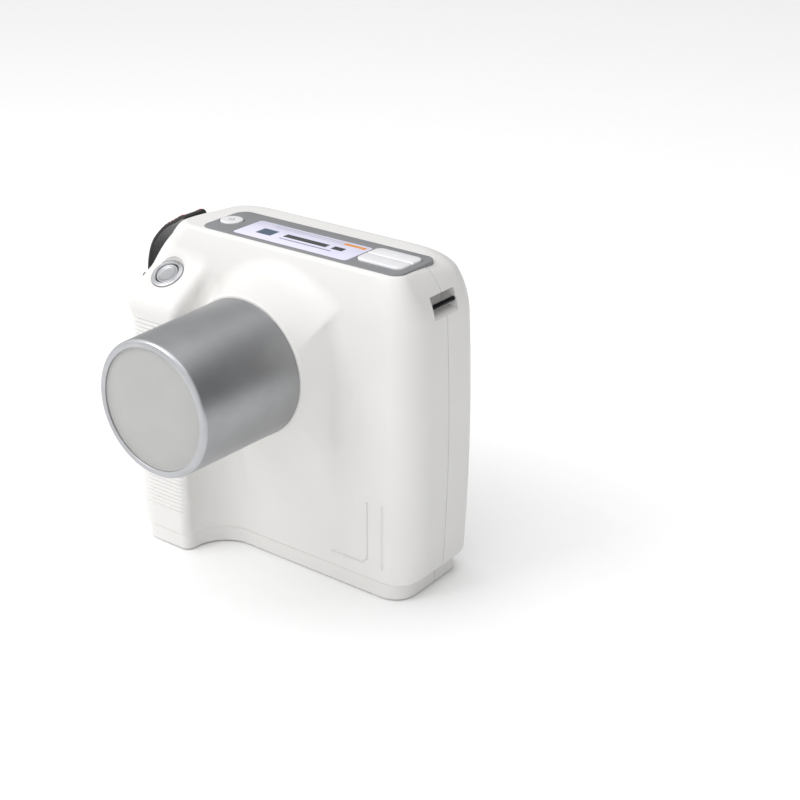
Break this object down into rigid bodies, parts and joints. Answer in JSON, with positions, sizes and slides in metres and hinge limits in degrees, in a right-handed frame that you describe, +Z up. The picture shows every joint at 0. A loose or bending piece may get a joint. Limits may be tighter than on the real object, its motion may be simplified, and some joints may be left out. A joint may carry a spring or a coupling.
{
  "type": "intraoral x-ray unit",
  "caption": "Handheld dental x-ray unit: white two-shell housing with ribbed grip, sloping trigger, metal beam cone, top key panel and wrist strap.",
  "frame": {"origin": "on the surface that the unit stands on, under the middle of the bounding box of the unit without its strap", "axes": "+Z up, the cone points along -Y, +X is the side away from the grip"},
  "size_m": [0.2078, 0.15, 0.1794],
  "materials": {
    "white_abs": "glossy moulded",
    "satin_aluminium": "satin turned",
    "grey_polycarbonate": "matt",
    "lead": "dull",
    "machined_aluminium": "machined",
    "grey_abs": "fine grain",
    "label_film": "printed film",
    "white_key": "glossy moulded",
    "circuit_board": "solder mask",
    "switch_plastic": "moulded",
    "satin_bezel": "satin turned",
    "satin_button": "satin, dished",
    "spring_steel": "drawn",
    "cast_aluminium": "cast",
    "screw_steel": "plated",
    "tube_glass": "clear",
    "copper": "turned",
    "cathode_metal": "formed",
    "ferrite": "sintered",
    "potting": "cast resin",
    "battery_plastic": "moulded",
    "cell_wrap": "shrink wrap",
    "display_glass": "clear coated",
    "black_rubber": "moulded",
    "pin_steel": "drawn",
    "black_leather": "grained",
    "clamp_plastic": "moulded",
    "braided_cord": "braided"
  },
  "bodies": {
    "housing": {"front_shell": "white_abs", "rear_shell": "white_abs", "cone_barrel": "satin_aluminium", "cone_window": "grey_polycarbonate", "cone_liner": "lead", "cone_retainer": "machined_aluminium", "top_panel": "grey_abs", "top_label": "label_film", "top_board": "circuit_board", "top_switches": "switch_plastic", "trigger_ring": "satin_bezel", "trigger_spring": "spring_steel", "trigger_bracket": "machined_aluminium", "trigger_switch": "switch_plastic", "chassis_plate": "machined_aluminium", "tube_tank": "cast_aluminium", "tank_cover": "cast_aluminium", "tank_screws": "screw_steel", "tube_glass": "tube_glass", "anode": "copper", "cathode_cup": "cathode_metal", "beam_filter": "machined_aluminium", "collimator": "lead", "hv_transformer": "ferrite", "transformer_coil": "copper", "hv_multiplier": "potting", "battery_case": "battery_plastic", "battery_cells": "cell_wrap", "main_board": "circuit_board", "board_chips": "switch_plastic", "board_screws": "screw_steel", "display_window": "display_glass", "display_module": "switch_plastic", "charge_socket": "switch_plastic", "buzzer": "switch_plastic", "case_screws": "screw_steel", "foot_pads": "black_rubber", "left_strap_pin": "pin_steel", "right_strap_pin": "pin_steel", "strap_tab": "black_leather", "strap_ring": "pin_steel", "cord_clamp": "clamp_plastic", "wrist_cord": "braided_cord"},
    "trigger": {"trigger_button": "satin_button"},
    "power_key": {"power_button": "white_key"},
    "up_rocker": {"up_key": "white_key"},
    "down_rocker": {"down_key": "white_key"}
  },
  "joints": [
    {"name": "trigger_press", "type": "slide", "parent": "housing", "child": "trigger", "axis": [0, 0.5299, -0.848], "range_m": [0, 0.0016], "stiffness_N_per_m": 800, "springref_m": -0.001, "deforming": ["trigger_spring"]},
    {"name": "power_press", "type": "slide", "parent": "housing", "child": "power_key", "axis": [0, 0, -1], "range_m": [0, 0.0008], "stiffness_N_per_m": 1200, "springref_m": -0.0006},
    {"name": "up_press", "type": "slide", "parent": "housing", "child": "up_rocker", "axis": [0, 0, -1], "range_m": [0, 0.0008], "stiffness_N_per_m": 1200, "springref_m": -0.0006},
    {"name": "down_press", "type": "slide", "parent": "housing", "child": "down_rocker", "axis": [0, 0, -1], "range_m": [0, 0.0008], "stiffness_N_per_m": 1200, "springref_m": -0.0006}
  ]
}
